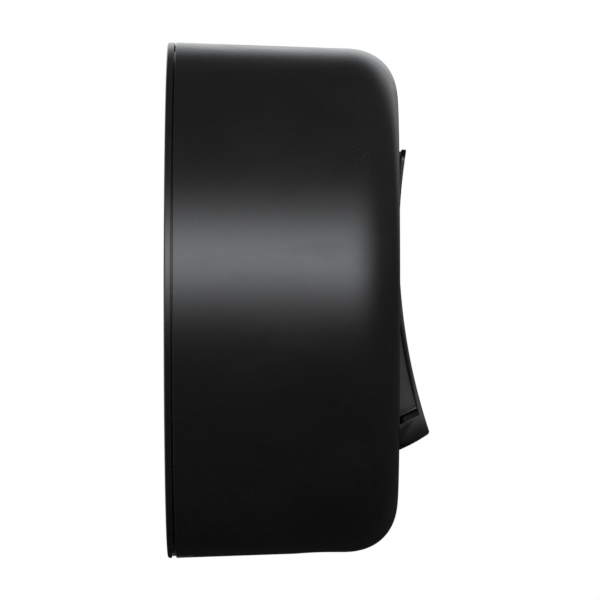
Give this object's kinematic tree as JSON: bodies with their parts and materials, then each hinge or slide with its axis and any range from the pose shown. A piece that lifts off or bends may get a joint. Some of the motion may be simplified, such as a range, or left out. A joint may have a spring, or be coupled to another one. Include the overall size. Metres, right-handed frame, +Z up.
{
  "type": "wall mounted soap dispenser",
  "caption": "Round drum soap dispenser for a wall, with a concave push lever, a piston pump, a fill tank and a lockable swing-down cover.",
  "frame": {"origin": "centre of the back plate's flat back face, which lies on the wall", "axes": "+Z up, +Y into the wall, the front faces -Y, +X to the right as the user looks at the front"},
  "size_m": [0.22, 0.111, 0.22],
  "materials": {
    "plate_black": "fine satin black moulded plastic",
    "cover_black": "satin to semi-gloss black moulded plastic",
    "lever_gloss": "gloss black moulded plastic",
    "lever_grey": "matte warm dark grey moulded plastic",
    "tank_natural": "translucent natural polypropylene",
    "pump_white": "satin white moulded plastic",
    "fitting_grey": "matte grey moulded plastic",
    "rubber": "black rubber",
    "silicone": "translucent pale silicone",
    "steel": "bright zinc plated and stainless steel",
    "zinc": "satin nickel plated die cast zinc"
  },
  "bodies": {
    "wall_unit": {"back_plate": "plate_black", "cover_hinge_pin": "steel", "lock_strike": "steel", "pump_bracket": "fitting_grey", "bracket_screw_1": "steel", "bracket_screw_2": "steel", "bracket_screw_3": "steel", "bracket_screw_4": "steel", "pump_body": "pump_white", "pump_cap": "fitting_grey", "pump_spring": "steel", "inlet_valve": "silicone", "spout_seal": "rubber", "outlet_tube": "pump_white", "tube_nut": "fitting_grey", "nozzle_tip": "silicone", "tank": "tank_natural", "tank_lid_pin": "steel"},
    "cover": {"cover": "cover_black", "lever_pin": "steel", "lever_stop_left": "rubber", "lever_stop_right": "rubber", "lock_housing": "zinc"},
    "lever": {"lever_face": "lever_gloss", "lever_body": "lever_grey", "presser_pad": "fitting_grey"},
    "piston": {"piston": "pump_white", "piston_seal": "rubber", "piston_button": "fitting_grey"},
    "tank_lid": {"tank_lid": "fitting_grey", "tank_gasket": "rubber"},
    "lock": {"lock_plug": "zinc", "lock_cam": "steel", "lock_nut": "steel"}
  },
  "joints": [
    {"name": "cover_hinge", "type": "hinge", "parent": "wall_unit", "child": "cover", "pos_m": [0, -0.008, -0.106], "axis": [1, 0, 0], "range_deg": [0, 90]},
    {"name": "lever_pivot", "type": "hinge", "parent": "cover", "child": "lever", "pos_m": [0, -0.088, 0.06], "axis": [1, 0, 0], "range_deg": [0, 8], "stiffness_Nm_per_rad": 3, "springref_deg": -5.73},
    {"name": "piston_slide", "type": "slide", "parent": "wall_unit", "child": "piston", "axis": [0, 1, 0], "range_m": [0, 0.0145], "deforming": ["pump_spring"]},
    {"name": "tank_lid_hinge", "type": "hinge", "parent": "wall_unit", "child": "tank_lid", "pos_m": [0, -0.036, 0.069], "axis": [-1, 0, 0], "range_deg": [0, 80]},
    {"name": "lock_turn", "type": "hinge", "parent": "cover", "child": "lock", "pos_m": [0, -0.02, 0.09], "axis": [0, 0, 1], "range_deg": [-90, 0]}
  ],
  "couplings": [
    {"joint": "piston_slide", "follows": "lever_pivot", "m_per_rad": 0.1025}
  ]
}
